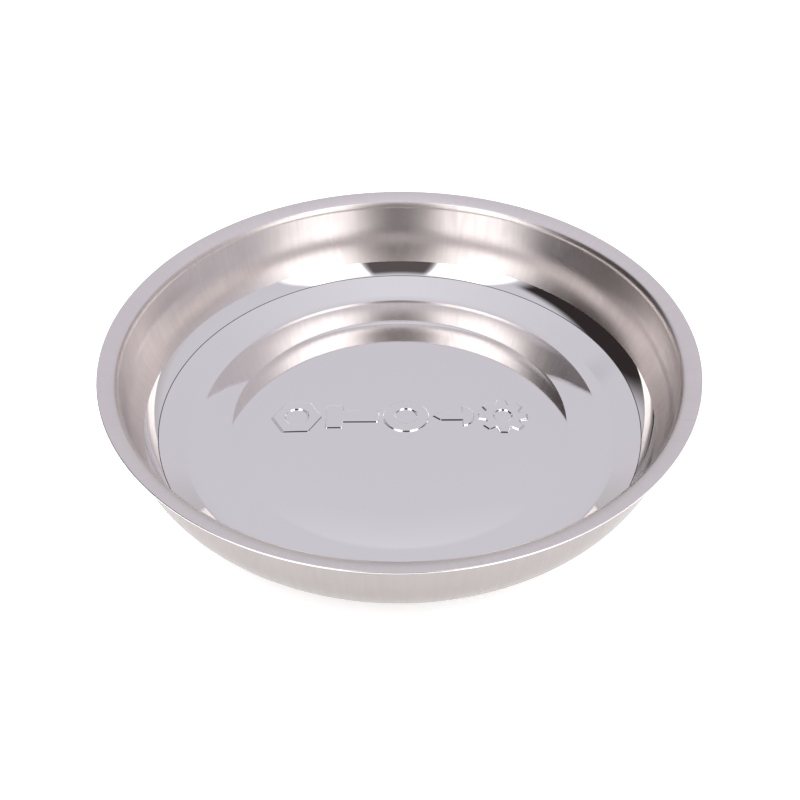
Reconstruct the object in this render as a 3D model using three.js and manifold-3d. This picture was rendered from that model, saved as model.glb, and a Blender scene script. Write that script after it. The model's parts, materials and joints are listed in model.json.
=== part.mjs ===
// Round magnetic tray for sorting small parts: a drawn stainless-steel dish on a
// rubber-covered ring magnet. Millimetres, +Z up, the axis of the tray on the Z axis,
// and the face that the tray stands on at z = 0.

import * as THREE from 'three';
import { mergeVertices } from 'three/addons/utils/BufferGeometryUtils.js';
import Module from 'manifold-3d';

const wasm = await Module();
wasm.setup();

// ---- driving dimensions -------------------------------------------------------------

const GAP = 0.3;                 // air left between pieces that touch

// dish
const RIM_RADIUS = 75;           // outer edge of the rim: a 150 mm tray
const TOTAL_HEIGHT = 36.6;       // standing face to rim edge
const SHEET = 0.6;               // steel sheet
const WALL_LEAN = 1;             // degrees that the wall leans out from upright
const BEND_RADIUS = 2.4;         // upper side of the bend from wall to rim
const RIM_SLOPE = 15;            // degrees that the rim climbs outward
const CORNER_RADIUS = 18;        // between wall and floor
const CREASE_RADIUS = 63;        // fine line where the corner meets the floor's cone
const CREASE_DEPTH = 22.6;       // below the rim edge
const CREASE_SLOPE = 39;         // slope of the corner where it ends at the line
const CONE_SLOPE = 27;
const VALLEY_RADIUS = 53.8;      // where the annulus starts to bend up to the cone
const VALLEY_ROUND = 8;
const ANNULUS_SLOPES = [-2.5, 0.4];  // the annulus is slightly hollow
const FIELD_RADIUS = 45.5;       // outer edge of the raised field
const FIELD_STEP = 1;
const FIELD_SLOPE = 12.5;        // the field is a low dome: its slope at its edge
const FIELD_BOW = 4.5;           // how late the dome's slope grows towards its edge

// pressed marks on the raised field: outlines of the small parts that the tray holds
const MARK_HEIGHT = 0.45;
const MARK_SINK = 0.3;           // how far a mark's solid reaches into the sheet
const MARK_GAP = 1.2;            // free width between neighbours in the row

// magnet base, from the standing face up
const BOOT_RADIUS = 39;
const BOOT_FLOOR = 1.4;
const BOOT_WALL = 2.1;
const BOOT_LIP = 1;              // thickness of the lip that hooks over the cup
const BOOT_LIP_REACH = 3.5;
const BOOT_EDGE = 1.2;           // rounding of its lower edge
const MAGNET_OUTER = 35;
const MAGNET_BORE = 16;
const MAGNET_THICKNESS = 6;
const CUP_SHEET = 1.2;
const PAD_RADIUS = 33;
const PAD_BORE = 7;
const STUD_RADIUS = 2.5;         // M5
const STUD_FLANGE_RADIUS = 6;
const STUD_FLANGE = 1;
const WASHER_RADIUS = 5;
const WASHER_THICKNESS = 1;
const SPRING_WASHER_RADIUS = 4.6;
const SPRING_WASHER_THICKNESS = 1.2;
const SPRING_WASHER_SLIT = 0.8;
const NUT_ACROSS_FLATS = 8;
const NUT_HEIGHT = 2.7;          // thin nut

const DISH_SEGMENTS = 72;
const BOOT_SEGMENTS = 48;
const SMALL_SEGMENTS = 32;

const radians = THREE.MathUtils.degToRad;
const degrees = THREE.MathUtils.radToDeg;

// ---- heights that follow from them --------------------------------------------------

const magnetLow = BOOT_FLOOR + GAP;
const cupUnder = magnetLow + MAGNET_THICKNESS + GAP;
const cupTop = cupUnder + CUP_SHEET;
const cupInner = MAGNET_OUTER + GAP;
const cupOuter = cupInner + CUP_SHEET;
const studHole = STUD_RADIUS + GAP;
const washerLow = cupUnder - GAP - WASHER_THICKNESS;
const springWasherLow = washerLow - GAP - SPRING_WASHER_THICKNESS;
const nutLow = springWasherLow - GAP - NUT_HEIGHT;

// ---- materials ----------------------------------------------------------------------

const paint = (color, roughness, metalness) =>
  new THREE.MeshStandardMaterial({ color, roughness, metalness });

const stainless = paint(0xd6d2d0, 0.2, 1);
const zincSteel = paint(0xb9bcc0, 0.35, 1);
const ferrite = paint(0x2b2b2e, 0.7, 0);
const rubber = paint(0x1c1c1e, 0.8, 0);
const foam = paint(0x3a3a3c, 0.95, 0);

// ---- helpers ------------------------------------------------------------------------

const tray = new THREE.Group();

function add(name, geometry, material) {
  const mesh = new THREE.Mesh(geometry, material);
  mesh.name = name;
  tray.add(mesh);
}

// A closed profile of [radius, height] points, anticlockwise, turned about the Z axis.
function turned(profile, segments) {
  const points = profile.map(([radius, height]) => new THREE.Vector2(radius, height));
  return new THREE.LatheGeometry(points, segments).rotateX(Math.PI / 2);
}

// A ring of rectangular section.
function ring(inner, outer, low, high, segments) {
  const corners = [[inner, low], [outer, low], [outer, high], [inner, high], [inner, low]];
  return turned(corners, segments);
}

// A point on a circle in the [radius, height] plane, and a run of them. Angles in degrees.
function onCircle(centre, radius, angle) {
  const turn = radians(angle);
  return [centre[0] + radius * Math.cos(turn), centre[1] + radius * Math.sin(turn)];
}

function arc(centre, radius, from, to, steps) {
  return Array.from(
    { length: steps + 1 }, (_, i) => onCircle(centre, radius, from + (to - from) * i / steps),
  );
}

function toSolid(geometry) {
  const bare = geometry.clone();
  bare.deleteAttribute('normal');
  bare.deleteAttribute('uv');
  const merged = mergeVertices(bare, 1e-4);
  const index = Array.from(merged.index.array);
  const triangles = [];
  for (let i = 0; i < index.length; i += 3) {
    const [a, b, c] = index.slice(i, i + 3);
    if (a !== b && b !== c && c !== a) triangles.push(a, b, c);
  }
  return new wasm.Manifold(new wasm.Mesh({
    numProp: 3,
    vertProperties: new Float32Array(merged.attributes.position.array),
    triVerts: new Uint32Array(triangles),
  }));
}

function toGeometry(solid) {
  const mesh = solid.getMesh();
  const geometry = new THREE.BufferGeometry();
  geometry.setAttribute('position', new THREE.BufferAttribute(mesh.vertProperties, 3));
  geometry.setIndex(new THREE.BufferAttribute(mesh.triVerts, 1));
  return geometry;
}

// ---- dish ---------------------------------------------------------------------------

// A profile is a list of { r, z, slope }: a point on the sheet's upper face and the
// degrees that the face climbs outward there.

function straight(path, length) {
  const { r, z, slope } = path.at(-1);
  const turn = radians(slope);
  path.push({ r: r + length * Math.cos(turn), z: z + length * Math.sin(turn), slope });
}

// An arc of that radius, from the path's present slope to another.
function bendTo(path, radius, slope, steps) {
  const start = path.at(-1);
  const side = Math.sign(slope - start.slope);
  const begin = radians(start.slope);
  const centreR = start.r - side * radius * Math.sin(begin);
  const centreZ = start.z + side * radius * Math.cos(begin);
  for (let i = 1; i <= steps; i += 1) {
    const now = start.slope + (slope - start.slope) * i / steps;
    path.push({
      r: centreR + side * radius * Math.sin(radians(now)),
      z: centreZ - side * radius * Math.cos(radians(now)),
      slope: now,
    });
  }
}

// A run whose slope changes gently: slopeAt gives it for a share of the run.
function drift(path, reach, slopeAt, steps) {
  for (let i = 1; i <= steps; i += 1) {
    const last = path.at(-1);
    const slope = slopeAt(i / steps);
    const rise = Math.tan(radians((slope + last.slope) / 2)) * reach / steps;
    path.push({ r: last.r + reach / steps, z: last.z + rise, slope });
  }
}

// How far the raised field lies below its middle at a radius, and its slope there.
const fieldEdge = FIELD_RADIUS - FIELD_STEP;
const edgeTan = Math.tan(radians(FIELD_SLOPE));

function fieldDrop(radius) {
  const power = FIELD_BOW + 1;
  return edgeTan * fieldEdge / power * (radius / fieldEdge) ** power;
}

function fieldSlope(radius) {
  return -degrees(Math.atan(edgeTan * (radius / fieldEdge) ** FIELD_BOW));
}

// Floor of the dish, from its middle out to the crease line, then lifted so that the line
// lies at its depth.
function floorPath() {
  const path = [0, 0.45, 0.65, 0.8, 0.9, 1].map((share) => {
    const r = share * fieldEdge;
    return { r, z: -fieldDrop(r), slope: fieldSlope(r) };
  });
  const [first, last] = ANNULUS_SLOPES;
  drift(path, FIELD_STEP, (share) => (first + FIELD_SLOPE) * share - FIELD_SLOPE, 1);
  drift(path, VALLEY_RADIUS - FIELD_RADIUS, (share) => first + (last - first) * share, 2);
  bendTo(path, VALLEY_ROUND, CONE_SLOPE, 4);
  straight(path, (CREASE_RADIUS - path.at(-1).r) / Math.cos(radians(CONE_SLOPE)));
  const crease = path.pop();
  const lift = TOTAL_HEIGHT - CREASE_DEPTH - crease.z;
  const lifted = path.map(({ r, z, slope }) => ({ r, z: z + lift, slope }));
  return [...lifted, { r: crease.r, z: crease.z + lift, slope: CREASE_SLOPE }];
}

// The upper face from the middle to the rim. The wall runs up and the rim runs out to
// the rim edge, and the bend joins them.
function upperPath() {
  const path = floorPath();
  bendTo(path, CORNER_RADIUS, 90 - WALL_LEAN, 7);
  const bend = [{ r: 0, z: 0, slope: 90 - WALL_LEAN }];
  bendTo(bend, BEND_RADIUS, RIM_SLOPE, 1);
  const edge = onCircle(rimEdgeCentre, SHEET / 2, 90 + RIM_SLOPE);
  const gapR = edge[0] - path.at(-1).r - bend.at(-1).r;
  const gapZ = edge[1] - path.at(-1).z - bend.at(-1).z;
  const wall = onCircle([0, 0], 1, 90 - WALL_LEAN);
  const rim = onCircle([0, 0], 1, RIM_SLOPE);
  const across = wall[0] * rim[1] - wall[1] * rim[0];
  straight(path, (gapR * rim[1] - gapZ * rim[0]) / across);
  bendTo(path, BEND_RADIUS, RIM_SLOPE, 4);
  straight(path, (wall[0] * gapZ - wall[1] * gapR) / across);
  return path;
}

// One face of the sheet, lying depth below the upper face and square to it.
function sheetFace(depth) {
  const face = upperPath().map(({ r, z, slope }) => {
    const turn = radians(slope);
    return [r + depth * Math.sin(turn), z - depth * Math.cos(turn)];
  });
  return face;
}

const rimEdgeCentre = [RIM_RADIUS - SHEET / 2, TOTAL_HEIGHT - SHEET / 2];
const rimEdge = [45, 0, -45].map((angle) => onCircle(rimEdgeCentre, SHEET / 2, angle));
const rimTop = onCircle(rimEdgeCentre, SHEET / 2, 90);
const plateauTop = floorPath()[0].z;
const plateauUnder = plateauTop - SHEET;
const plainDish = turned(
  [...sheetFace(SHEET), ...[...rimEdge].reverse(), rimTop, ...sheetFace(0).reverse()],
  DISH_SEGMENTS,
);

// ---- pressed marks: five plain outlines of small parts in a row along X ----------------

function circlePath(radius) {
  return new THREE.Path().absarc(0, 0, radius, 0, 2 * Math.PI);
}

function polygonShape(corners) {
  return new THREE.Shape(corners.map(([x, y]) => new THREE.Vector2(x, y)));
}

function withHole(shape, radius) {
  shape.holes.push(circlePath(radius));
  return shape;
}

function hexNutMark() {
  const radius = 6.6;
  const corners = Array.from({ length: 6 }, (_, i) => {
    const angle = i * Math.PI / 3;
    return [radius * Math.cos(angle), radius * Math.sin(angle)];
  });
  return { width: 2 * radius, shape: withHole(polygonShape(corners), 3.1) };
}

// A screw lying along the row, its point towards -X.
function screwMark() {
  const half = 5.4;
  const head = 3.8;
  const headStart = 2.4;
  const shank = 1.6;
  const pointEnd = -3.4;
  const shape = new THREE.Shape();
  shape.moveTo(-half, 0);
  shape.lineTo(pointEnd, -shank);
  shape.lineTo(headStart, -shank);
  shape.lineTo(headStart, -head);
  shape.quadraticCurveTo(half, -head, half, 0);
  shape.quadraticCurveTo(half, head, headStart, head);
  shape.lineTo(headStart, shank);
  shape.lineTo(pointEnd, shank);
  shape.closePath();
  return { width: 2 * half, shape };
}

function washerMark() {
  const radius = 6;
  const shape = new THREE.Shape().absarc(0, 0, radius, 0, 2 * Math.PI);
  return { width: 2 * radius, shape: withHole(shape, 2.9) };
}

function boltMark() {
  const half = 7;
  const headEnd = -2.6;
  const shape = polygonShape([
    [-half, -4.4], [headEnd, -4.4], [headEnd, -2.2], [half - 0.8, -2.2], [half, -1.4],
    [half, 1.4], [half - 0.8, 2.2], [headEnd, 2.2], [headEnd, 4.4], [-half, 4.4],
  ]);
  return { width: 2 * half, shape };
}

function cogMark() {
  const teeth = 8;
  const root = 4.8;
  const tip = 6.5;
  const pitch = 2 * Math.PI / teeth;
  const corners = [];
  for (let i = 0; i < teeth; i += 1) {
    for (const [share, radius] of [[-0.3, root], [-0.17, tip], [0.17, tip], [0.3, root]]) {
      const angle = Math.PI / 2 + (i + share) * pitch;
      corners.push([radius * Math.cos(angle), radius * Math.sin(angle)]);
    }
  }
  return { width: 2 * tip, shape: withHole(polygonShape(corners), 2.4) };
}

// The marks stand in one row along X, centred on the axis, and are joined to the dish.
function pressMarks(dish) {
  const marks = [hexNutMark(), boltMark(), washerMark(), screwMark(), cogMark()];
  const rowWidth = marks.reduce((sum, mark) => sum + mark.width + MARK_GAP, -MARK_GAP);
  let edge = -rowWidth / 2;
  let solid = toSolid(dish);
  for (const { width, shape } of marks) {
    const raised = new THREE.ExtrudeGeometry(shape, {
      depth: MARK_HEIGHT + MARK_SINK, bevelEnabled: false, curveSegments: 10,
    });
    const middle = edge + width / 2;
    raised.translate(middle, 0, plateauTop - fieldDrop(Math.abs(middle)) - MARK_SINK);
    solid = solid.add(toSolid(raised));
    edge += width + MARK_GAP;
  }
  return toGeometry(solid);
}

add('dish', pressMarks(plainDish), stainless);

// ---- magnet base --------------------------------------------------------------------

// M5 stud on a flange, which is welded to the underside of the raised field.
const flangeTop = plateauUnder - GAP;
const flangeLow = flangeTop - STUD_FLANGE;
const studEnd = BOOT_FLOOR + 2 * GAP;
add('weld_stud', turned([
  [0, studEnd], [STUD_RADIUS - 0.4, studEnd], [STUD_RADIUS, studEnd + 0.4],
  [STUD_RADIUS, flangeLow], [STUD_FLANGE_RADIUS, flangeLow],
  [STUD_FLANGE_RADIUS, flangeTop], [0, flangeTop],
], SMALL_SEGMENTS), zincSteel);

// Foam pad that keeps the cup from rattling against the dish.
const padLow = cupTop + GAP;
const padHigh = plateauUnder - fieldDrop(PAD_RADIUS) - GAP;
add('foam_pad', ring(PAD_BORE, PAD_RADIUS, padLow, padHigh, BOOT_SEGMENTS), foam);

// Pressed steel cup, mouth down, over the magnet.
const cupMouth = magnetLow + GAP;
const cupCorner = 1;
add('magnet_cup', turned([
  [studHole, cupUnder], [cupInner, cupUnder], [cupInner, cupMouth], [cupOuter, cupMouth],
  [cupOuter, cupTop - cupCorner], [cupOuter - cupCorner, cupTop], [studHole, cupTop],
  [studHole, cupUnder],
], BOOT_SEGMENTS), zincSteel);

// Hard ferrite ring magnet, poles up and down.
const magnetEdge = 0.5;
const magnetHigh = magnetLow + MAGNET_THICKNESS;
add('ring_magnet', turned([
  [MAGNET_BORE, magnetLow], [MAGNET_OUTER - magnetEdge, magnetLow],
  [MAGNET_OUTER, magnetLow + magnetEdge], [MAGNET_OUTER, magnetHigh - magnetEdge],
  [MAGNET_OUTER - magnetEdge, magnetHigh], [MAGNET_BORE, magnetHigh],
  [MAGNET_BORE, magnetLow],
], BOOT_SEGMENTS), ferrite);

// Fasteners under the cup.
add('flat_washer', ring(
  studHole, WASHER_RADIUS, washerLow, washerLow + WASHER_THICKNESS, SMALL_SEGMENTS,
), zincSteel);

// A washer slit once, so it closes under the nut and keeps it from turning.
function springWasher() {
  const slit = Math.asin(SPRING_WASHER_SLIT / 2 / STUD_RADIUS);
  const shape = new THREE.Shape();
  shape.absarc(0, 0, SPRING_WASHER_RADIUS, slit, 2 * Math.PI - slit, false);
  shape.absarc(0, 0, studHole, 2 * Math.PI - slit, slit, true);
  shape.closePath();
  const washer = new THREE.ExtrudeGeometry(shape, {
    depth: SPRING_WASHER_THICKNESS, bevelEnabled: false, curveSegments: 14,
  });
  return washer.translate(0, 0, springWasherLow);
}

add('spring_washer', springWasher(), zincSteel);

function lockNut() {
  const corner = NUT_ACROSS_FLATS / 2 / Math.cos(Math.PI / 6);
  const corners = Array.from({ length: 6 }, (_, i) => {
    const angle = i * Math.PI / 3;
    return [corner * Math.cos(angle), corner * Math.sin(angle)];
  });
  const nut = new THREE.ExtrudeGeometry(withHole(polygonShape(corners), studHole), {
    depth: NUT_HEIGHT, bevelEnabled: false, curveSegments: 12,
  });
  return nut.translate(0, 0, nutLow);
}

add('lock_nut', lockNut(), zincSteel);

// Rubber boot stretched over the cup from below, with a lip that hooks over its top.
const bootInner = BOOT_RADIUS - BOOT_WALL;
const bootLipLow = cupTop + GAP;
const bootTop = bootLipLow + BOOT_LIP;
add('rubber_boot', turned([
  [0, 0], ...arc([BOOT_RADIUS - BOOT_EDGE, BOOT_EDGE], BOOT_EDGE, -90, 0, 4),
  ...arc([BOOT_RADIUS - BOOT_EDGE, bootTop - BOOT_EDGE], BOOT_EDGE, 0, 90, 4),
  [bootInner - BOOT_LIP_REACH, bootTop], [bootInner - BOOT_LIP_REACH, bootLipLow],
  [bootInner, bootLipLow], [bootInner, BOOT_FLOOR], [0, BOOT_FLOOR],
], BOOT_SEGMENTS), rubber);

export default tray;
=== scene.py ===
"""Round magnetic tray for sorting small parts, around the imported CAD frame.

The steel dish and the rubber boot are rebuilt here as fine meshes. The parts inside the
magnet base stay as the CAD made them and get materials. Lengths below are in millimetres
and become metres in mesh(); positions come from the frame.
"""

import json
import math

import bpy
from mathutils import Euler, Matrix, Vector


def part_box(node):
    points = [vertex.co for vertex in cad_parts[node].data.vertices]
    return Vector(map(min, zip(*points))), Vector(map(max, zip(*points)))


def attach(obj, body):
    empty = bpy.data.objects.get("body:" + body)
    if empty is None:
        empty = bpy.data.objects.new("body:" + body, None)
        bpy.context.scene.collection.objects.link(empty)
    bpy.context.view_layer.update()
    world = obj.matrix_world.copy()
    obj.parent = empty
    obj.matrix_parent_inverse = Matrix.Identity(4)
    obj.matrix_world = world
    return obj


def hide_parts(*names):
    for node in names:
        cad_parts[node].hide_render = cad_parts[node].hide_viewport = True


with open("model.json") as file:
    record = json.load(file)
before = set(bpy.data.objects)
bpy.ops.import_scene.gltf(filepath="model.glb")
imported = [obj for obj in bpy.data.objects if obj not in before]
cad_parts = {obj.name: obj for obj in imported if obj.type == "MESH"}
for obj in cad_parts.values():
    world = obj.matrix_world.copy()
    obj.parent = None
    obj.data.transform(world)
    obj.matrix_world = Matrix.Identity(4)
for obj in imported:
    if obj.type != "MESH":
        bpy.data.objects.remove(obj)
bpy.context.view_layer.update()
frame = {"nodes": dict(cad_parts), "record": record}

MM = 0.001

# ---- the dish, from the frame and from the sizes that the CAD uses -------------------

_, dish_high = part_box("dish")
boot_low, boot_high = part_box("rubber_boot")

RIM_RADIUS = dish_high.x / MM
RIM_TOP = dish_high.z / MM
SHEET = 0.6
WALL_LEAN = 1.0          # degrees out from upright
BEND_RADIUS = 2.4        # upper side of the bend from wall to rim
RIM_SLOPE = 15.0         # degrees that the rim climbs outward, on the whole
RIM_CROWN = 8.0          # degrees more at the bend and less at the edge: a rounded rim
CORNER_RADIUS = 18.0     # between wall and floor
CREASE_RADIUS = 63.0     # fine line where the corner meets the floor's cone
CREASE_DEPTH = 22.6      # below the rim edge
CREASE_SLOPE = 39.0      # slope of the corner where it ends at the line
CREASE_LINE = 0.40       # width of the crease strip that is painted dark as shade
CONE_SLOPE = 27.0
VALLEY_RADIUS = 53.8     # where the flat annulus starts to bend up to the cone
VALLEY_ROUND = 8.0
ANNULUS_SLOPES = (-2.5, 0.4)  # the annulus is slightly hollow
FIELD_RADIUS = 45.5      # outer edge of the raised field
FIELD_STEP = 1.0
FIELD_SLOPE = 12.5       # the field is a low dome: its slope at its edge
FIELD_BOW = 4.5          # how late the dome's slope grows towards its edge
PANEL_RADIUS = 35.0      # the marks' fine mesh reaches to here
SATIN_SLOPE = 53.0       # the corner is satin above this slope, polished below it

TURN_SEGMENTS = 384      # points round the axis
RIM_STEPS = 8
UNDER_RINGS = 12         # rings of the underside's middle, from the panel's edge inwards
EDGE_STEPS = 12          # steps round the rim's rounded edge
RIM_FINISH_RINGS = 4     # the rim's finish begins this many rings before the bend ends

# the dish's material slots; the crease strip's slot carries painted shade
POLISHED, SATIN, OUTSIDE, RIM, PAINTED_SHADE_LINE = range(5)

# ---- the rubber boot, from the frame and from the sizes that the CAD uses --------------

BOOT_RADIUS = boot_high.x / MM
BOOT_TOP = boot_high.z / MM
BOOT_FLOOR = 1.4
BOOT_WALL = 2.1
BOOT_LIP = 1.0           # thickness of the lip that hooks over the cup
BOOT_LIP_REACH = 3.5
BOOT_LIP_BEVEL = 0.3
BOOT_EDGE = 1.2          # rounding of its edges
BOOT_EDGE_STEPS = 8
BOOT_BEAD = 0.12         # moulding bead round the side, at half height
GROOVE_DEPTH = 0.45      # ring grooves in the standing face
GROOVE_SHOULDER = 0.18   # depth at which a groove's rounded shoulder becomes its flank
GROOVE_ROUND = 0.25      # width of the shoulder
GROOVE_FLANK = 0.2       # width of the flank
BEAD_HALF = 0.3          # half height of the bead at its foot, and of its flat
BEAD_FLAT = 0.1
GROOVE_RINGS = ((9.0, 11.0), (13.0, 15.0), (25.0, 27.0), (29.0, 31.0), (33.0, 35.0))

# ---- profiles -------------------------------------------------------------------------


def slope_vector(degrees):
    """Unit vector along the profile, outward, climbing by that many degrees."""
    angle = math.radians(degrees)
    return math.cos(angle), math.sin(angle)


def bend_to(path, radius, slope, steps):
    """Adds an arc from the path's present slope to another, with that radius."""
    r, z, start = path[-1]
    turn = math.radians(slope - start)
    side = 1 if turn > 0 else -1
    begin = math.radians(start)
    centre_r = r - side * radius * math.sin(begin)
    centre_z = z + side * radius * math.cos(begin)
    for i in range(1, steps + 1):
        angle = begin + turn * i / steps
        path.append((
            centre_r + side * radius * math.sin(angle),
            centre_z - side * radius * math.cos(angle),
            math.degrees(angle),
        ))


def straight(path, length, steps=1):
    """Adds a straight run along the path's present slope."""
    r, z, slope = path[-1]
    dr, dz = slope_vector(slope)
    for i in range(1, steps + 1):
        path.append((r + dr * length * i / steps, z + dz * length * i / steps, slope))


def drift(path, reach, slope_at, steps):
    """Adds a run whose slope changes gently: slope_at gives it for a share of the run."""
    for i in range(1, steps + 1):
        r, z, last = path[-1]
        slope = slope_at(i / steps)
        rise = math.tan(math.radians((slope + last) / 2)) * reach / steps
        path.append((r + reach / steps, z + rise, slope))


def field_slope(r):
    """Slope of the raised field, in degrees, at a radius."""
    share = r / (FIELD_RADIUS - FIELD_STEP)
    return -math.degrees(math.atan(math.tan(math.radians(FIELD_SLOPE)) * share ** FIELD_BOW))


def field_drop(r):
    """How far the raised field lies below its middle at a radius."""
    edge = FIELD_RADIUS - FIELD_STEP
    power = FIELD_BOW + 1
    return math.tan(math.radians(FIELD_SLOPE)) * edge / power * (r / edge) ** power


def rim_slope(share):
    """Slope of the rim, in degrees, at a share of its width from the bend."""
    return RIM_SLOPE + RIM_CROWN * (1 - 2 * share)


def upper_profile():
    """The dish's upper face from the marks' panel out to the rim edge, as (r, z, slope),
    with the indexes at which its line, its polished part and its bend end."""
    ends = {}
    field_steps = 24
    field_edge = FIELD_RADIUS - FIELD_STEP
    path = []
    for i in range(field_steps + 1):
        r = PANEL_RADIUS + (field_edge - PANEL_RADIUS) * i / field_steps
        path.append((r, -field_drop(r), field_slope(r)))
    first, last = ANNULUS_SLOPES
    drift(path, FIELD_STEP, lambda share: (first + FIELD_SLOPE) * share - FIELD_SLOPE, 6)
    drift(path, VALLEY_RADIUS - FIELD_RADIUS, lambda share: first + (last - first) * share, 12)
    bend_to(path, VALLEY_ROUND, CONE_SLOPE, 16)
    run = CREASE_RADIUS - path[-1][0]
    straight(path, run / math.cos(math.radians(CONE_SLOPE)), 8)
    lift = RIM_TOP - CREASE_DEPTH - path[-1][1]
    path = [(r, z + lift, slope) for r, z, slope in path]
    r, z, slope = path[-1]
    path.append((r + CREASE_LINE / 4, z - CREASE_LINE / 4, (CREASE_SLOPE + slope) / 2))
    ends["line"] = len(path) - 1
    path.append((r + CREASE_LINE / 2, z + CREASE_LINE / 4, CREASE_SLOPE))
    bend_to(path, CORNER_RADIUS, SATIN_SLOPE, 12)
    ends["polished"] = len(path) - 1
    bend_to(path, CORNER_RADIUS, 90 - WALL_LEAN, 14)
    # the wall runs up, bends, and the rounded rim runs out to its edge
    r, z, _ = path[-1]
    last = math.radians(RIM_SLOPE - RIM_CROWN)
    edge_r = RIM_RADIUS - SHEET / 2 - SHEET / 2 * math.sin(last)
    edge_z = RIM_TOP - SHEET / 2 + SHEET / 2 * math.cos(last)
    bend = [(0.0, 0.0, 90 - WALL_LEAN)]
    bend_to(bend, BEND_RADIUS, RIM_SLOPE + RIM_CROWN, 1)
    rim = [(0.0, 0.0, RIM_SLOPE + RIM_CROWN)]
    drift(rim, 1.0, rim_slope, RIM_STEPS)
    gap_r = edge_r - r - bend[-1][0]
    gap_z = edge_z - z - bend[-1][1]
    wall_r, wall_z = slope_vector(90 - WALL_LEAN)
    climb = rim[-1][1]
    across = wall_r * climb - wall_z
    straight(path, (gap_r * climb - gap_z) / across, 10)
    bend_to(path, BEND_RADIUS, RIM_SLOPE + RIM_CROWN, 12)
    ends["bend"] = len(path) - 1
    drift(path, (wall_r * gap_z - wall_z * gap_r) / across, rim_slope, RIM_STEPS)
    return path, ends


# ---- the marks: five plain outlines of small parts, as distance fields -------------------

MARK_HEIGHT = 0.45
MARK_FLANK = 0.44        # width of a mark's sloping side
MARK_GAP = 1.2           # free width between neighbours in the row
MARK_CELL = 0.13         # size of the mesh's cells there
MARK_FIELD = (34.1, 7.2)  # half length and half width of the fine part of the mesh
PANEL_LOOPS = 16


def disc(x, y, radius):
    """Distance outside a disc; negative inside, as for the shapes below."""
    return math.hypot(x, y) - radius


def block(x, y, half_x, half_y, corner=0.0):
    """Distance outside a rectangle with rounded corners."""
    dx = abs(x) - half_x + corner
    dy = abs(y) - half_y + corner
    return math.hypot(max(dx, 0), max(dy, 0)) + min(max(dx, dy), 0) - corner


def hexagon(x, y, radius):
    """Distance outside a hexagon with corners at that radius, two of them on the X axis."""
    inner = radius * math.cos(math.pi / 6)
    turn = math.pi / 3
    angle = math.atan2(y, x)
    local = (angle % turn) - turn / 2
    reach = math.hypot(x, y)
    along, out = reach * math.sin(local), reach * math.cos(local)
    half = inner * math.tan(turn / 2)
    if abs(along) > half:
        return math.hypot(abs(along) - half, out - inner)
    return out - inner


def hex_nut(x, y):
    return max(hexagon(x, y, 6.6), -disc(x, y, 3.1))


def screw(x, y):
    """A screw lying along the row, its point towards -X."""
    shank = block(x + 1.2, y, 4.2, 1.6, 0.2)
    point = abs(y) * 0.781 - (x + 5.4) * 0.625
    head = max((math.hypot((x - 2.4) / 3.0, y / 3.8) - 1) * 3.3, 2.4 - x)
    return min(max(shank, point), head)


def washer(x, y):
    return abs(disc(x, y, 4.45)) - 1.55


def bolt(x, y):
    return min(block(x + 4.8, y, 2.2, 4.4, 0.4), block(x - 1.9, y, 5.1, 2.2, 0.8))


def cog(x, y):
    teeth = 8
    pitch = 2 * math.pi / teeth
    angle = math.atan2(y, x) - math.pi / 2
    local = (angle + pitch / 2) % pitch - pitch / 2
    reach = math.hypot(x, y)
    across, out = reach * math.sin(local), reach * math.cos(local)
    tooth = max(abs(across) * 0.97 + (out - 5.6) * 0.24 - 1.25, out - 6.45)
    return max(min(reach - 4.8, tooth), -disc(x, y, 2.4))


# each mark with its width
MARKS = ((hex_nut, 13.2), (bolt, 14.0), (washer, 12.0), (screw, 10.8), (cog, 13.0))


def mark_row():
    """Each mark with the x of its middle, in one row centred on the axis."""
    width = sum(wide for _, wide in MARKS) + MARK_GAP * (len(MARKS) - 1)
    edge = -width / 2
    row = []
    for mark, wide in MARKS:
        row.append((mark, edge + wide / 2, wide / 2))
        edge += wide + MARK_GAP
    return row


def mark_lift(x, y, row):
    """Height of the pressed marks over the field at (x, y)."""
    for mark, middle, half in row:
        if abs(x - middle) <= half + MARK_FLANK:
            inside = 0.5 - mark(x - middle, y) / MARK_FLANK
            share = min(max(inside, 0.0), 1.0)
            return MARK_HEIGHT * share * share * (3 - 2 * share)
    return 0.0


# ---- meshes ---------------------------------------------------------------------------

def mesh(name, points, faces, normals, slots, materials):
    """A mesh object from millimetre points, with a normal for each point or None."""
    data = bpy.data.meshes.new(name)
    data.from_pydata([Vector(p) * MM for p in points], [], faces)
    for material in materials:
        data.materials.append(material)
    data.polygons.foreach_set("material_index", slots)
    data.shade_smooth()
    data.validate()
    if normals:
        data.normals_split_custom_set_from_vertices(normals)
    made = bpy.data.objects.new(name, data)
    bpy.context.collection.objects.link(made)
    return made


def turn_rings(rings, points, normals):
    """Adds one ring of points for each (r, z, normal_r, normal_z)."""
    first = len(points)
    for r, z, normal_r, normal_z in rings:
        for k in range(TURN_SEGMENTS):
            angle = 2 * math.pi * k / TURN_SEGMENTS
            c, s = math.cos(angle), math.sin(angle)
            points.append((r * c, r * s, z))
            normals.append((normal_r * c, normal_r * s, normal_z))
    return first


def skin_rings(first, count, faces, slots, slot_of):
    """Quads between neighbouring rings, facing left of the profile's direction."""
    for i in range(count - 1):
        for k in range(TURN_SEGMENTS):
            nxt = (k + 1) % TURN_SEGMENTS
            a = first + i * TURN_SEGMENTS
            b = a + TURN_SEGMENTS
            faces.append((a + k, b + k, b + nxt, a + nxt))
            slots.append(slot_of(i))


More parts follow.
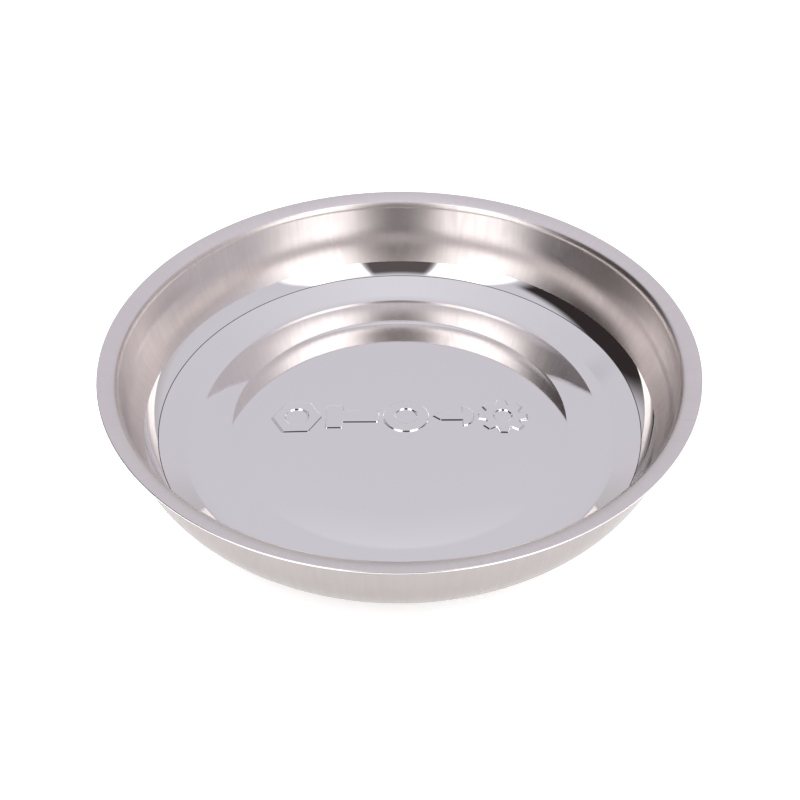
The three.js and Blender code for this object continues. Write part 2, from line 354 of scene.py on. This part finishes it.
def panel_point(x, y, top, row):
    """A point of the raised field with its marks, and the normal there."""
    def height(px, py):
        return mark_lift(px, py, row) - field_drop(math.hypot(px, py))

    probe = 0.02
    tilt_x = (height(x - probe, y) - height(x + probe, y)) / (2 * probe)
    tilt_y = (height(x, y - probe) - height(x, y + probe)) / (2 * probe)
    return (x, y, top + height(x, y)), Vector((tilt_x, tilt_y, 1.0)).normalized()


def mark_panel(top, points, normals, faces, slots, slot):
    """The fine grid that carries the marks, widened by loops to a circle. Returns that
    circle's points."""
    row = mark_row()
    half_x, half_y = MARK_FIELD
    columns = round(2 * half_x / MARK_CELL)
    lines = round(2 * half_y / MARK_CELL)
    first = len(points)
    wide = columns + 1

    def put(x, y):
        point, normal = panel_point(x, y, top, row)
        points.append(point)
        normals.append(normal)

    for j in range(lines + 1):
        for i in range(wide):
            put(-half_x + 2 * half_x * i / columns, -half_y + 2 * half_y * j / lines)
    for j in range(lines):
        for i in range(columns):
            a = first + j * wide + i
            faces.append((a, a + 1, a + wide + 1, a + wide))
            slots.append(slot)
    edge = [first + i for i in range(columns)]
    edge += [first + columns + j * wide for j in range(lines)]
    edge += [first + lines * wide + i for i in range(columns, 0, -1)]
    edge += [first + j * wide for j in range(lines, 0, -1)]
    corners = [points[index] for index in edge]
    loop = edge
    for step in range(1, PANEL_LOOPS + 1):
        share = step / PANEL_LOOPS
        start = len(points)
        for x, y, _ in corners:
            grow = (PANEL_RADIUS - 0.1) / math.hypot(x, y)
            scale = 1 + (grow - 1) * share
            put(x * scale, y * scale)
        outer = list(range(start, start + len(corners)))
        for k in range(len(corners)):
            nxt = (k + 1) % len(corners)
            faces.append((loop[k], outer[k], outer[nxt], loop[nxt]))
            slots.append(slot)
        loop = outer
    return loop


def stitch(inner, outer, points, faces, slots, slot):
    """A strip of triangles between two closed loops, both anticlockwise."""
    def angle(index):
        return math.atan2(points[index][1], points[index][0]) % (2 * math.pi)

    inner = sorted(inner, key=angle)
    outer = sorted(outer, key=angle)
    i = j = 0
    while i < len(inner) or j < len(outer):
        a = inner[i % len(inner)]
        b = outer[j % len(outer)]
        next_a = angle(inner[i + 1]) if i + 1 < len(inner) else 9.0 + i
        next_b = angle(outer[j + 1]) if j + 1 < len(outer) else 9.0 + j
        if j >= len(outer) or (i < len(inner) and next_a < next_b):
            faces.append((a, b, inner[(i + 1) % len(inner)]))
            i += 1
        else:
            faces.append((a, b, outer[(j + 1) % len(outer)]))
            j += 1
        slots.append(slot)


def make_dish(materials):
    """The whole sheet-metal dish as one closed skin."""
    path, ends = upper_profile()
    upper = []
    for r, z, slope in path:
        c, s = slope_vector(slope)
        upper.append((r, z, -s, c))
    edge = []
    centre_r, centre_z = RIM_RADIUS - SHEET / 2, RIM_TOP - SHEET / 2
    for i in range(1, EDGE_STEPS):
        angle = math.radians(90 + RIM_SLOPE - RIM_CROWN - 180 * i / EDGE_STEPS)
        c, s = math.cos(angle), math.sin(angle)
        edge.append((centre_r + SHEET / 2 * c, centre_z + SHEET / 2 * s, c, s))
    lower = [(r - nr * SHEET, z - nz * SHEET, -nr, -nz) for r, z, nr, nz in reversed(upper)]
    field_top = path[0][1] + field_drop(PANEL_RADIUS)
    for i in range(1, UNDER_RINGS):
        r = PANEL_RADIUS * (1 - i / UNDER_RINGS)
        along, rise = slope_vector(field_slope(r))
        lower.append((r, field_top - field_drop(r) - SHEET, rise, -along))
    points, normals, faces, slots = [], [], [], []
    rings = upper + edge + lower
    turn_rings(rings, points, normals)

    def slot_of(i):
        # painted shade: the two rings at the crease get the dark steel that stands in for the
        # shade and dark reflection there
        if i in (ends["line"] - 1, ends["line"]):
            return PAINTED_SHADE_LINE
        if i < ends["polished"]:
            return POLISHED
        if i < ends["bend"] - RIM_FINISH_RINGS:
            return SATIN
        if i < len(upper) + len(edge) // 2:
            return RIM
        return OUTSIDE

    skin_rings(0, len(rings), faces, slots, slot_of)
    panel = mark_panel(field_top, points, normals, faces, slots, POLISHED)
    stitch(panel, list(range(TURN_SEGMENTS)), points, faces, slots, POLISHED)
    last = (len(rings) - 1) * TURN_SEGMENTS
    middle = len(points)
    points.append((0.0, 0.0, field_top - SHEET))
    normals.append((0.0, 0.0, -1.0))
    for k in range(TURN_SEGMENTS):
        faces.append((middle, last + (k + 1) % TURN_SEGMENTS, last + k))
        slots.append(OUTSIDE)
    return mesh("steel_dish", points, faces, normals, slots, materials)


def boot_outline():
    """Half section of the boot, from its bottom outwards, up, and in over the lip to its
    inner floor, without the two points on the axis."""
    outline = []
    for start, end in GROOVE_RINGS:
        outline += [(start - GROOVE_ROUND, 0.0), (start, GROOVE_SHOULDER),
                    (start + GROOVE_FLANK, GROOVE_DEPTH),
                    (end - GROOVE_FLANK, GROOVE_DEPTH),
                    (end, GROOVE_SHOULDER), (end + GROOVE_ROUND, 0.0)]
    side = BOOT_RADIUS - BOOT_BEAD

    def rounding(centre_z, first_angle):
        for i in range(BOOT_EDGE_STEPS + 1):
            angle = math.radians(first_angle + 90 * i / BOOT_EDGE_STEPS)
            outline.append((side - BOOT_EDGE + BOOT_EDGE * math.cos(angle),
                            centre_z + BOOT_EDGE * math.sin(angle)))

    rounding(BOOT_EDGE, -90)
    middle = BOOT_TOP / 2
    outline += [(side, middle - BEAD_HALF), (BOOT_RADIUS, middle - BEAD_FLAT),
                (BOOT_RADIUS, middle + BEAD_FLAT), (side, middle + BEAD_HALF)]
    rounding(BOOT_TOP - BOOT_EDGE, 0)
    inner = BOOT_RADIUS - BOOT_WALL
    lip = inner - BOOT_LIP_REACH
    outline += [(lip + BOOT_LIP_BEVEL, BOOT_TOP), (lip, BOOT_TOP - BOOT_LIP_BEVEL),
                (lip, BOOT_TOP - BOOT_LIP), (inner, BOOT_TOP - BOOT_LIP),
                (inner, BOOT_FLOOR)]
    return outline


def make_boot(material):
    """The rubber boot: a shallow cup with a lip, ribs below and a moulding bead."""
    outline = boot_outline()
    points = [(0.0, 0.0, 0.0), (0.0, 0.0, BOOT_FLOOR)]
    faces, slots = [], []
    first = turn_rings([(r, z, 0, 0) for r, z in outline], points, [])
    skin_rings(first, len(outline), faces, slots, lambda i: 0)
    last = first + (len(outline) - 1) * TURN_SEGMENTS
    for k in range(TURN_SEGMENTS):
        nxt = (k + 1) % TURN_SEGMENTS
        faces.append((0, first + k, first + nxt))
        faces.append((1, last + nxt, last + k))
        slots += [0, 0]
    # the outline has the rubber on its left, so the faces are turned over
    faces = [face[::-1] for face in faces]
    made = mesh("rubber_base", points, faces, None, slots, (material,))
    made.modifiers.new("even_shading", "WEIGHTED_NORMAL").weight = 80
    return made


# ---- materials ------------------------------------------------------------------------

def shader(name, color, metallic, roughness):
    """A material with its node tree and its Principled shader."""
    material = bpy.data.materials.new(name)
    material.use_nodes = True
    tree = material.node_tree
    principled = tree.nodes["Principled BSDF"]
    principled.inputs["Base Color"].default_value = (*color, 1)
    principled.inputs["Metallic"].default_value = metallic
    principled.inputs["Roughness"].default_value = roughness
    return material, tree, principled


def add_node(tree, kind, **inputs):
    """A node whose named inputs are linked to sockets or set to values."""
    node = tree.nodes.new(kind)
    for key, value in inputs.items():
        socket = node.inputs[key.replace("_", " ")]
        if isinstance(value, bpy.types.NodeSocket):
            tree.links.new(value, socket)
        else:
            socket.default_value = value
    return node


def calc(tree, operation, *values):
    """The output of a Math node."""
    node = tree.nodes.new("ShaderNodeMath")
    node.operation = operation
    for socket, value in zip(node.inputs, values):
        if isinstance(value, bpy.types.NodeSocket):
            tree.links.new(value, socket)
        else:
            socket.default_value = value
    return node.outputs["Value"]


def polished_steel():
    """Mirror-bright steel with a faint long wave in it."""
    material, tree, principled = shader("steel_polished", (0.93, 0.93, 0.94), 1.0, 0.035)
    coord = add_node(tree, "ShaderNodeTexCoord")
    wave = add_node(tree, "ShaderNodeTexNoise", Vector=coord.outputs["Object"],
                    Scale=45.0, Detail=2.0)
    bump = add_node(tree, "ShaderNodeBump", Strength=0.03, Distance=0.002,
                    Height=wave.outputs["Fac"])
    tree.links.new(bump.outputs["Normal"], principled.inputs["Normal"])
    return material


def round_coordinates(tree, along, up):
    """Coordinates for streaks on a turned wall: along scales the way round the axis, up
    scales the height."""
    coord = add_node(tree, "ShaderNodeTexCoord")
    parts = add_node(tree, "ShaderNodeSeparateXYZ", Vector=coord.outputs["Object"])
    flat = add_node(tree, "ShaderNodeCombineXYZ", X=parts.outputs["X"], Y=parts.outputs["Y"])
    unit = tree.nodes.new("ShaderNodeVectorMath")
    unit.operation = "NORMALIZE"
    tree.links.new(flat.outputs["Vector"], unit.inputs[0])
    scaled = tree.nodes.new("ShaderNodeVectorMath")
    scaled.operation = "SCALE"
    scaled.inputs["Scale"].default_value = along
    tree.links.new(unit.outputs["Vector"], scaled.inputs[0])
    across = add_node(tree, "ShaderNodeSeparateXYZ", Vector=scaled.outputs["Vector"])
    joined = add_node(tree, "ShaderNodeCombineXYZ", X=across.outputs["X"],
                      Y=across.outputs["Y"], Z=calc(tree, "MULTIPLY", parts.outputs["Z"], up))
    return joined.outputs["Vector"]


def spread(tree, value, low, high):
    """Maps the middle of a noise's range to low and high."""
    node = add_node(tree, "ShaderNodeMapRange", Value=value)
    node.inputs["From Min"].default_value = 0.3
    node.inputs["From Max"].default_value = 0.7
    node.inputs["To Min"].default_value = low
    node.inputs["To Max"].default_value = high
    return node.outputs["Result"]


def tint(tree, principled, color, other, factor):
    """Mixes the base colour between two colours by a 0 to 1 factor."""
    mix = tree.nodes.new("ShaderNodeMix")
    mix.data_type = "RGBA"
    mix.inputs["A"].default_value = (*color, 1)
    mix.inputs["B"].default_value = (*other, 1)
    tree.links.new(factor, mix.inputs["Factor"])
    tree.links.new(mix.outputs["Result"], principled.inputs["Base Color"])


def satin_steel(name, color, roughness, wear=0.9, grain=0.05):
    """Satin steel: fine streaks up the wall over broad soft clouds, and a fine grain. The
    base colour goes down to wear times itself."""
    material, tree, principled = shader(name, color, 1.0, roughness)
    streaks = add_node(tree, "ShaderNodeTexNoise", Vector=round_coordinates(tree, 60.0, 110.0),
                       Scale=1.0, Detail=1.0)
    clouds = add_node(tree, "ShaderNodeTexNoise", Vector=round_coordinates(tree, 6.0, 40.0),
                      Scale=1.0, Detail=3.0)
    both = calc(tree, "ADD", calc(tree, "MULTIPLY", streaks.outputs["Fac"], 0.5),
                calc(tree, "MULTIPLY", clouds.outputs["Fac"], 0.5))
    worn = tuple(channel * wear for channel in color)
    tint(tree, principled, worn, color, spread(tree, both, 0.0, 1.0))
    tree.links.new(spread(tree, both, roughness + 0.04, roughness - 0.03),
                   principled.inputs["Roughness"])
    coord = add_node(tree, "ShaderNodeTexCoord")
    fine = add_node(tree, "ShaderNodeTexNoise", Vector=coord.outputs["Object"],
                    Scale=900.0, Detail=1.0)
    bump = add_node(tree, "ShaderNodeBump", Strength=grain, Distance=0.0002,
                    Height=fine.outputs["Fac"])
    tree.links.new(bump.outputs["Normal"], principled.inputs["Normal"])
    return material


def spotted(name, color, other, metallic, roughness, scale, grain, depth):
    """A cloudy, fine-grained surface: zinc plate, ferrite or rubber."""
    material, tree, principled = shader(name, color, metallic, roughness)
    coord = add_node(tree, "ShaderNodeTexCoord")
    clouds = add_node(tree, "ShaderNodeTexNoise", Vector=coord.outputs["Object"],
                      Scale=scale, Detail=4.0)
    fine = add_node(tree, "ShaderNodeTexNoise", Vector=coord.outputs["Object"],
                    Scale=scale * 12, Detail=2.0)
    tint(tree, principled, color, other, spread(tree, clouds.outputs["Fac"], 0.0, 1.0))
    tree.links.new(spread(tree, clouds.outputs["Fac"], roughness - 0.07, roughness + 0.07),
                   principled.inputs["Roughness"])
    bump = add_node(tree, "ShaderNodeBump", Strength=grain, Distance=depth,
                    Height=fine.outputs["Fac"])
    tree.links.new(bump.outputs["Normal"], principled.inputs["Normal"])
    return material


def foam_cells():
    """Black closed-cell foam."""
    material, tree, principled = shader("foam", (0.045, 0.045, 0.047), 0.0, 0.95)
    coord = add_node(tree, "ShaderNodeTexCoord")
    cells = add_node(tree, "ShaderNodeTexVoronoi", Vector=coord.outputs["Object"], Scale=2200.0)
    tint(tree, principled, (0.03, 0.03, 0.032), (0.07, 0.07, 0.073), cells.outputs["Distance"])
    bump = add_node(tree, "ShaderNodeBump", Strength=0.8, Distance=0.0003,
                    Height=cells.outputs["Distance"])
    tree.links.new(bump.outputs["Normal"], principled.inputs["Normal"])
    return material


# ---- studio ---------------------------------------------------------------------------

def between(tree, value, low, high, down=False):
    """A smooth step of value, from 0 at low to 1 at high, or the other way down."""
    node = add_node(tree, "ShaderNodeMapRange", Value=value)
    node.interpolation_type = "SMOOTHSTEP"
    node.inputs["From Min"].default_value = low
    node.inputs["From Max"].default_value = high
    node.inputs["To Min"].default_value = 1.0 if down else 0.0
    node.inputs["To Max"].default_value = 0.0 if down else 1.0
    return node.outputs["Result"]


# what stands round the object: for each, the degrees right of the front over which its
# left edge fades in and its right edge fades out, the elevations over which its top fades
# out, and its colour
STUDIO = (
    ((17, 22), (52, 60), (58, 68), (2.0, 1.94, 1.92)),        # right soft box
    ((-60, -53), (-22, -17), (58, 68), (2.0, 1.94, 1.92)),    # left soft box
    ((-20, -15), (15, 20), (58, 68), (0.10, 0.085, 0.083)),   # dark gap between them
    ((-144, -126), (-68, -58), (40, 49), (0.03, 0.024, 0.023)),  # low dark stand
)

# colours of the tent's cloth, at shares of the way from the horizon to overhead
TENT = (
    (0.06, (0.43, 0.40, 0.385)),
    (0.24, (0.61, 0.58, 0.62)),
    (0.60, (0.63, 0.60, 0.65)),
    (0.95, (0.73, 0.71, 0.75)),
)


def make_world():
    """A light tent: lavender-grey cloth, two white soft boxes low in front with a dark gap
    between them, and a dark stand low on the left."""
    world = bpy.data.worlds.new("light_tent")
    bpy.context.scene.world = world
    world.use_nodes = True
    tree = world.node_tree
    coord = add_node(tree, "ShaderNodeTexCoord")
    parts = add_node(tree, "ShaderNodeSeparateXYZ", Vector=coord.outputs["Generated"])
    x, y, z = (parts.outputs[axis] for axis in "XYZ")
    to_degrees = 180 / math.pi
    side = calc(tree, "ARCTAN2", x, calc(tree, "MULTIPLY", y, -1.0))
    turn = calc(tree, "MULTIPLY", side, to_degrees)
    height = calc(tree, "MULTIPLY", calc(tree, "ARCSINE", z), to_degrees)
    tent = add_node(tree, "ShaderNodeValToRGB", Fac=calc(tree, "DIVIDE", height, 90.0))
    stops = tent.color_ramp.elements
    while len(stops) < len(TENT):
        stops.new(1.0)
    for stop, (position, shade) in zip(stops, TENT):
        stop.position, stop.color = position, (*shade, 1)
    color = tent.outputs["Color"]
    for left, right, top, shade in STUDIO:
        mask = calc(tree, "MULTIPLY", between(tree, turn, *left),
                    between(tree, turn, *right, down=True))
        mask = calc(tree, "MULTIPLY", mask, between(tree, height, *top, down=True))
        mix = tree.nodes.new("ShaderNodeMix")
        mix.data_type = "RGBA"
        tree.links.new(mask, mix.inputs["Factor"])
        tree.links.new(color, mix.inputs["A"])
        mix.inputs["B"].default_value = (*shade, 1)
        color = mix.outputs["Result"]
    tree.links.new(color, tree.nodes["Background"].inputs["Color"])


def glowing(name, color, roughness, strength):
    """A matt studio material that also gives off white light."""
    material, _, principled = shader(name, color, 0.0, roughness)
    principled.inputs["Specular IOR Level"].default_value = 0.0
    principled.inputs["Emission Color"].default_value = (1, 1, 1, 1)
    principled.inputs["Emission Strength"].default_value = strength
    return material


def make_floor():
    """The pale floor, and the broad fill light that keeps its shadows soft."""
    data = bpy.data.meshes.new("studio_floor")
    half = 3.0
    data.from_pydata([(-half, -half, 0), (half, -half, 0), (half, half, 0), (-half, half, 0)],
                     [], [(0, 1, 2, 3)])
    data.materials.append(glowing("studio_floor", (0.95, 0.95, 0.95), 0.9, 0.4))
    floor = bpy.data.objects.new("studio_floor", data)
    floor.location.z = boot_low.z - 0.0002
    bpy.context.collection.objects.link(floor)
    sun_data = bpy.data.lights.new("floor_fill", "SUN")
    sun_data.energy = 3.0
    sun_data.angle = math.radians(120)
    sun = bpy.data.objects.new("floor_fill", sun_data)
    sun.visible_glossy = False
    bpy.context.collection.objects.link(sun)


def make_backdrop():
    """A plain pale screen all round, which shows behind the object and lights nothing."""
    count, radius, low, high = 96, 2.95, -0.01, 3.0
    points = []
    for k in range(count):
        angle = 2 * math.pi * k / count
        x, y = radius * math.cos(angle), radius * math.sin(angle)
        points += [(x, y, low), (x, y, high)]
    faces = []
    for k in range(count):
        a, b = 2 * k, 2 * ((k + 1) % count)
        faces.append((b, a, a + 1, b + 1))
    data = bpy.data.meshes.new("studio_backdrop")
    data.from_pydata(points, [], faces)
    data.materials.append(glowing("studio_backdrop", (0.0, 0.0, 0.0), 1.0, 1.0))
    screen = bpy.data.objects.new("studio_backdrop", data)
    screen.visible_diffuse = False
    screen.visible_glossy = False
    screen.visible_transmission = False
    screen.visible_shadow = False
    bpy.context.collection.objects.link(screen)


def make_camera():
    """A close view from about 41 degrees above the horizon. Lengths in millimetres."""
    pitch = math.radians(40.78)
    distance = 290.0
    rise = -13.69
    aside = 0.12
    sensor = 36
    focal = 1.4385 * sensor
    roll = math.radians(-0.33)
    ahead = Vector((0, math.cos(pitch), -math.sin(pitch)))
    above = Vector((0, math.sin(pitch), math.cos(pitch)))
    target = Vector((aside, 0, RIM_TOP - SHEET / 2)) + above * rise
    data = bpy.data.cameras.new("camera")
    data.sensor_width = sensor
    data.lens = focal
    data.clip_start = 0.01
    data.clip_end = 20
    camera = bpy.data.objects.new("camera", data)
    bpy.context.collection.objects.link(camera)
    turn = Euler((math.pi / 2 - pitch, 0, 0)).to_matrix() @ Matrix.Rotation(roll, 3, "Z")
    camera.matrix_world = Matrix.Translation((target - ahead * distance) * MM) @ turn.to_4x4()
    bpy.context.scene.camera = camera


# ---- the scene ------------------------------------------------------------------------

polished = polished_steel()
satin = satin_steel("steel_satin", (0.80, 0.75, 0.735), 0.30)
# painted shade: the outside is the same steel as the wall inside, with its base colour made far
# darker to stand in for shade, so that it reflects the bright floor less
outside = satin_steel("steel_outside_painted_shade", (0.335, 0.31, 0.30), 0.30, wear=0.94)
rim = satin_steel("steel_rim", (0.90, 0.875, 0.875), 0.24, wear=0.96, grain=0.02)
# painted shade: dark steel for the crease strip, standing in for the shade and dark reflection
# along the crease
line = satin_steel("steel_crease_painted_shade", (0.16, 0.15, 0.145), 0.35)
zinc = spotted("zinc_plate", (0.60, 0.61, 0.63), (0.74, 0.75, 0.77), 1.0, 0.32,
               260.0, 0.12, 0.0001)
ferrite = spotted("ferrite", (0.035, 0.035, 0.037), (0.06, 0.06, 0.062), 0.0, 0.68,
                  400.0, 0.5, 0.0002)
rubber = spotted("black_rubber", (0.018, 0.018, 0.019), (0.03, 0.03, 0.031), 0.0, 0.62,
                 180.0, 0.35, 0.0002)
finishes = {"zinc_steel": zinc, "ferrite": ferrite, "foam": foam_cells()}
for part in frame["record"]["subparts"]:
    if part["material_slot"] in finishes:
        node = frame["nodes"][part["node"]]
        for slot in node.material_slots:
            slot.material = finishes[part["material_slot"]]

dish = make_dish((polished, satin, outside, rim, line))
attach(dish, "root")
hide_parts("dish")

boot = make_boot(rubber)
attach(boot, "root")
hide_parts("rubber_boot")

make_world()
make_floor()
make_backdrop()
make_camera()
bpy.context.scene.view_settings.view_transform = "Standard"
